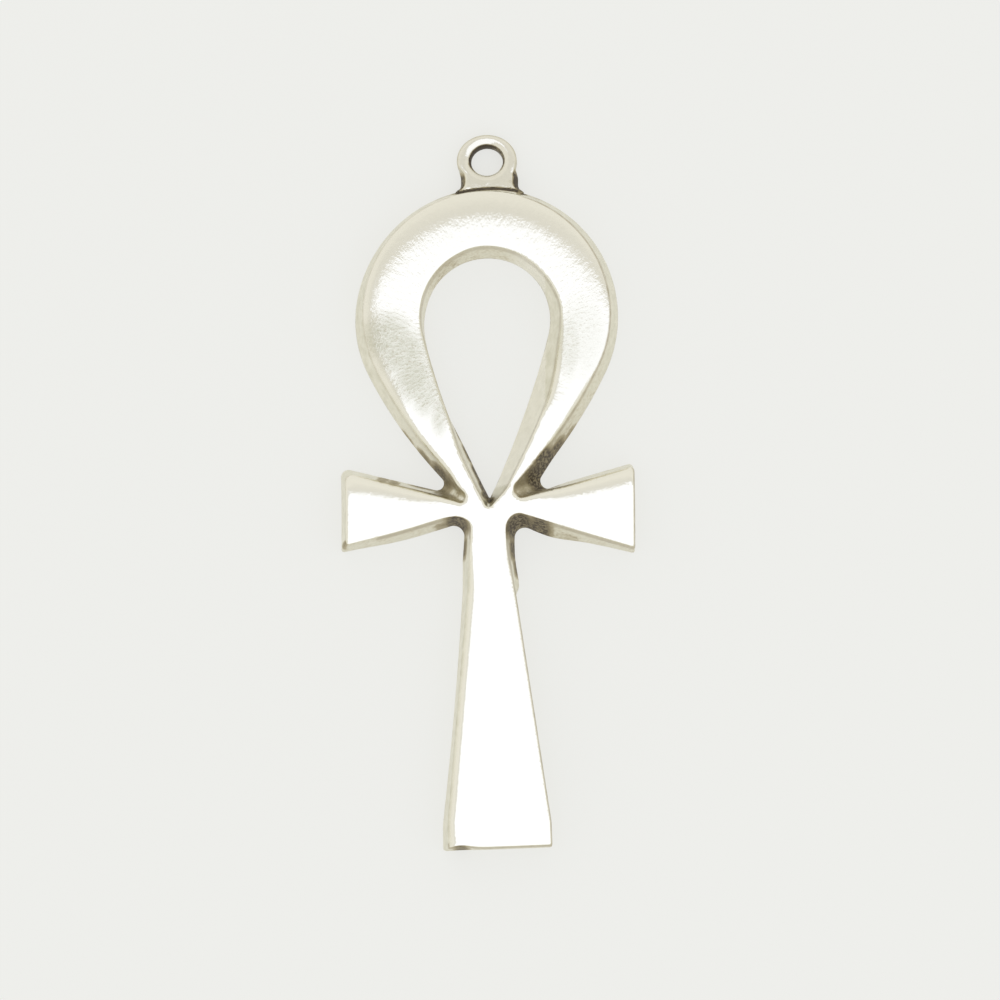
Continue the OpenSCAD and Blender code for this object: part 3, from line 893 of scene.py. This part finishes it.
def ripple_tree(material):
    """Geometry nodes that push the walls in and out as the mould left them, and give the finish."""
    tree = bpy.data.node_groups.new("Cast ripple", "GeometryNodeTree")
    tree.interface.new_socket("Geometry", in_out="OUTPUT", socket_type="NodeSocketGeometry")
    tree.interface.new_socket("Geometry", in_out="INPUT", socket_type="NodeSocketGeometry")
    for name in ("Height", "Width", "Seed"):
        tree.interface.new_socket(name, in_out="INPUT", socket_type="NodeSocketFloat")
    add, remap, calc, _ = adders(tree)
    start = tree.nodes.new("NodeGroupInput").outputs
    per_metre = calc("DIVIDE", 1.0, start["Width"])
    noise = add(
        "ShaderNodeTexNoise", {"W": start["Seed"], "Scale": per_metre, "Detail": 4.0, "Roughness": 0.65},
        noise_dimensions="4D",
    )
    steep = add("GeometryNodeInputNamedAttribute", {"Name": MARKS[0]}, data_type="FLOAT")
    height = calc("MULTIPLY", calc("SUBTRACT", noise, 0.5), start["Height"])
    height = calc("MULTIPLY", height, remap(steep, 0.0, 1.0, 0.2, 1.0))
    normal = add("GeometryNodeInputNormal")
    push = add("ShaderNodeVectorMath", {0: normal, "Scale": height}, operation="SCALE")
    moved = add("GeometryNodeSetPosition", {"Geometry": start["Geometry"], "Offset": push})
    solid = add("GeometryNodeRealizeInstances", {"Geometry": moved})
    made = add("GeometryNodeSetMaterial", {"Geometry": solid, "Material": material})
    add("NodeGroupOutput", {"Geometry": made})
    return tree


def add_ripple(piece, finish, material):
    """Runs the ripple over the piece, and keeps its result as a plain mesh inside the casting's height."""
    tree = ripple_tree(material)
    ripple = piece.modifiers.new("Cast ripple", "NODES")
    ripple.node_group = tree
    values = {"Height": finish.ripple_h, "Width": finish.ripple_w, "Seed": float(finish.seed)}
    for item in tree.interface.items_tree:
        if item.in_out == "INPUT" and item.name in values:
            ripple[item.identifier] = values[item.name]
    applied(piece)
    co = vertex_values(piece.data, "co")
    co[:, 2] = np.clip(co[:, 2], CAD_LOW.z, CAD_HIGH.z)
    piece.data.vertices.foreach_set("co", co.ravel())
    piece.data.update()


def crisp_edges(piece, limit):
    """Shades the piece smooth, but for edges that turn by more than the limit."""
    mesh = piece.data
    mesh.polygons.foreach_set("use_smooth", [True] * len(mesh.polygons))
    mesh.set_sharp_from_angle(angle=limit)


def silver_plate(finish):
    """Bright silver plate, polished by hand with strokes across the limbs, with dull patches whose grey is a
    painted darker reflection. Its walls are duller and mottled, with a dark line along their tops, and oxide
    has stayed brown to black in the corners. Painted shade darkens the walls that face the foot or the right,
    the eyelet, and the foot of the window's walls."""
    material = bpy.data.materials.new("Antiqued silver plate")
    material.use_nodes = True
    tree = material.node_tree
    tree.nodes.clear()
    add, remap, calc, blend = adders(tree)
    place = add("ShaderNodeTexCoord", out="Object")
    steep, oxide_and_shade, rim, dull_and_dark_reflection = (
        add("ShaderNodeAttribute", out="Fac", attribute_name=name) for name in MARKS[:4]
    )
    stroke = add("ShaderNodeAttribute", out="Vector", attribute_name=MARKS[4])
    stroke_share = add("ShaderNodeSeparateXYZ", {0: stroke}, out=2)

    # Unevenness: fine grain, blotches, and strokes that are long across the limbs and narrow along them
    grain = add("ShaderNodeTexNoise", {"Vector": place, "Scale": 1 / (0.15 * MM), "Detail": 3.0})
    blotch = add("ShaderNodeTexNoise", {
        "Vector": place, "Scale": 1 / (0.55 * MM), "Detail": 4.0, "Roughness": 0.6,
    })
    stretch = (finish.strokes_per_mm, 1.8, 0.0)
    stretched = add("ShaderNodeVectorMath", {0: stroke, 1: stretch}, operation="MULTIPLY")
    strokes = add("ShaderNodeTexNoise", {"Vector": stretched, "Scale": 1.0, "Detail": 3.0, "Roughness": 0.6})

    # Oxide and painted shade: the edge is broken up by the grain and the blotches, and they are thick in
    # flecks only
    broken = calc("MULTIPLY_ADD", grain, 0.35, calc("MULTIPLY_ADD", blotch, 0.45, oxide_and_shade))
    amount = remap(broken, 0.5, 1.4)
    oxide_and_shade_here = remap(amount, 0.05, 0.3)
    flecks = remap(grain, 0.59, 0.45, 0.25, 1.0)
    thick = calc("MULTIPLY", remap(amount, 0.45, 0.8), flecks)
    thick = calc("MAXIMUM", thick, remap(broken, 1.5, 1.8))
    oxide_and_shade_tone = blend(remap(amount, 0.1, 0.6), finish.stain_and_shade, finish.oxide_light)
    oxide_and_shade_tone = blend(thick, oxide_and_shade_tone, finish.oxide_dark)

    # Metal: greyer and pitted in the dull patches, the grey being a painted darker reflection, mottled on the
    # walls, tan along the dark line on the walls' tops, which on the eyelet is painted shade
    mottle = remap(blotch, 0.3, 0.7)
    wall = blend(mottle, finish.wall_dark, finish.wall)
    patchy = remap(calc("ADD", strokes, grain), 1.3, 0.7, 0.6, 1.4)
    patchy = calc("MULTIPLY", patchy, dull_and_dark_reflection, use_clamp=True)
    pits = calc("MULTIPLY", remap(grain, 0.57, 0.66, 0.0, 0.6), patchy)
    # The dark line along the walls' tops; on the eyelet it is painted shade
    worn = calc("MULTIPLY", remap(mottle, 0.0, 1.0, 1.0, 0.55), rim)
    tone = blend(patchy, finish.silver, finish.dull_and_dark_reflection)
    for cover, over in ((pits, finish.rim), (steep, wall), (worn, finish.rim), (oxide_and_shade_here, oxide_and_shade_tone)):
        tone = blend(cover, tone, over)

    rough = calc("MULTIPLY_ADD", dull_and_dark_reflection, 0.1, remap(steep, 0.0, 1.0, 0.12, 0.36))
    rough = calc("MULTIPLY_ADD", oxide_and_shade_here, 0.25, rough)
    metallic = remap(amount, 0.2, 0.8, 1.0, 0.3)

    # Relief: strokes on the face, deeper in the dull patches, and grain on the walls and in the oxide
    depth = calc("MULTIPLY", calc("ADD", dull_and_dark_reflection, 1.1), stroke_share)
    grit = calc("MULTIPLY_ADD", dull_and_dark_reflection, 1.4, remap(steep, 0.0, 1.0, 0.25, 0.9))
    grit = calc("MULTIPLY_ADD", thick, 1.2, grit)
    relief = calc("MULTIPLY_ADD", grain, grit, calc("MULTIPLY", strokes, depth))
    bump = add("ShaderNodeBump", {"Distance": finish.stroke_h, "Height": relief})
    shader = add("ShaderNodeBsdfPrincipled", {
        "Base Color": tone, "Metallic": metallic, "Roughness": rough, "Normal": bump,
    })
    add("ShaderNodeOutputMaterial", {"Surface": shader})
    return material


def floor_card(stage):
    """Matt pale card on a light table. Its own faint glow keeps shadows light."""
    material = bpy.data.materials.new("Pale card")
    material.use_nodes = True
    values = {
        "Base Color": (*[c * (1 - stage.glow) for c in stage.floor], 1.0), "Roughness": 0.9,
        "Specular IOR Level": 0.0, "Emission Color": (*stage.floor, 1.0), "Emission Strength": stage.glow,
    }
    for name, value in values.items():
        material.node_tree.nodes["Principled BSDF"].inputs[name].default_value = value
    return material


def room(stage):
    """Even light from all around. It is a little darker next to the soft box."""
    world = bpy.data.worlds.new("Room")
    world.use_nodes = True
    tree = world.node_tree
    tree.nodes.clear()
    add, remap, calc, blend = adders(tree)
    way = add("ShaderNodeSeparateXYZ", {0: add("ShaderNodeTexCoord", out="Generated")}).node.outputs

    # How far beyond the soft box's nearest side a direction lies. It starts well inside
    beyond = -9.0
    reaches = ((0, -1.0, stage.west), (0, 1.0, stage.east), (1, -1.0, stage.south), (1, 1.0, stage.north))
    for axis, sign, reach in reaches:
        slope = calc("DIVIDE", way[axis], way[2])
        beyond = calc("MAXIMUM", calc("MULTIPLY_ADD", slope, sign, -math.tan(reach)), beyond)
    shade = remap(beyond, 0.05, 0.4, 1 - stage.shade, 1.0)
    tone = blend(1.0, stage.room, shade, blend_type="MULTIPLY")
    add("ShaderNodeOutputWorld", {"Surface": add("ShaderNodeBackground", {"Color": tone})})
    return world


class OBJECT_OT_ankh_casting(bpy.types.Operator):
    """Build the casting: loop, arms, stem and eyelet, fused and finished"""

    bl_idname = "object.ankh_casting"
    bl_label = "Build the casting"

    def execute(self, context):
        scene = context.scene
        sizes, eyelet, finish = scene.ankh_casting, scene.ankh_eyelet, scene.ankh_finish
        to_frame = np.array((0, CAD_LOW.y, 0))
        points, faces = cross_blank(sizes)
        piece = mesh_object("casting", points + to_frame, faces)
        points, faces = eyelet_blank(sizes, eyelet)
        fused(piece, mesh_object("eyelet", points + to_frame, faces))
        mark_places(piece, sizes, eyelet)
        add_ripple(piece, finish, silver_plate(finish))
        crisp_edges(piece, finish.crisp)
        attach(piece, BODY)
        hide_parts(NODE)
        return {"FINISHED"}


class OBJECT_OT_ankh_stage(bpy.types.Operator):
    """Lay the floor, hang the soft box and set up the camera"""

    bl_idname = "object.ankh_stage"
    bl_label = "Set the stage"

    def execute(self, context):
        scene, stage = context.scene, context.scene.ankh_stage
        corners = np.array(((-1, -1, 0), (1, -1, 0), (1, 1, 0), (-1, 1, 0))) * stage.floor_half
        floor = mesh_object("floor", corners, [(0, 1, 2, 3)])
        floor.data.materials.append(floor_card(stage))

        scene.world = room(stage)
        reaches = (stage.west, stage.east, stage.north, stage.south)
        west, east, north, south = (stage.box_h * math.tan(reach) for reach in reaches)
        light = bpy.data.lights.new("Soft box", "AREA")
        light.shape = "RECTANGLE"
        light.size, light.size_y = west + east, north + south
        light.color, light.energy = stage.box, stage.box_power
        lamp = scene_object("Soft box", light)
        lamp.location = ((east - west) / 2, (north - south) / 2, stage.box_h)

        # The camera stands a little to the right of the vertical and more towards the foot
        aim = Vector((stage.aim_east, -stage.aim_south, 0))
        towards = Vector((math.tan(stage.camera_east), -math.tan(stage.camera_south), 1)).normalized()
        camera = bpy.data.cameras.new("Camera")
        camera.sensor_width = 36
        camera.lens = camera.sensor_width * stage.camera_far / stage.frame_w
        camera.clip_start, camera.clip_end = 0.01, 10
        eye = scene_object("Camera", camera)
        up = (Vector((0, 1, 0)) - towards * towards.y).normalized()
        up = Matrix.Rotation(-stage.camera_roll, 3, towards) @ up
        turn = Matrix((up.cross(towards), up, towards)).transposed()
        eye.matrix_world = Matrix.Translation(aim + towards * stage.camera_far) @ turn.to_4x4()
        scene.camera = eye
        scene.view_settings.view_transform = "Standard"
        return {"FINISHED"}


class VIEW3D_PT_ankh(bpy.types.Panel):
    """Lists the pendant's pieces and its stage"""

    bl_label = "Ankh pendant"
    bl_idname = "VIEW3D_PT_ankh"
    bl_space_type = "VIEW_3D"
    bl_region_type = "UI"
    bl_category = "Ankh"

    def draw(self, context):
        for operator in OPERATORS:
            self.layout.operator(operator.bl_idname)
        for group in GROUPS:
            settings = getattr(context.scene, group)
            box = self.layout.box()
            for name in settings.bl_rna.properties.keys():
                if name not in ("rna_type", "name"):
                    box.prop(settings, name)


GROUPS = {
    "ankh_casting": AnkhCasting,
    "ankh_eyelet": AnkhEyelet,
    "ankh_finish": AnkhFinish,
    "ankh_stage": AnkhStage,
}
OPERATORS = (OBJECT_OT_ankh_casting, OBJECT_OT_ankh_stage)
CLASSES = (*GROUPS.values(), *OPERATORS, VIEW3D_PT_ankh)


def register():
    for cls in CLASSES:
        bpy.utils.register_class(cls)
    for name, group in GROUPS.items():
        setattr(bpy.types.Scene, name, PointerProperty(type=group))


def unregister():
    for name in GROUPS:
        delattr(bpy.types.Scene, name)
    for cls in reversed(CLASSES):
        bpy.utils.unregister_class(cls)


def main():
    register()
    bpy.ops.object.ankh_casting()
    bpy.ops.object.ankh_stage()


if __name__ == "__main__":
    main()
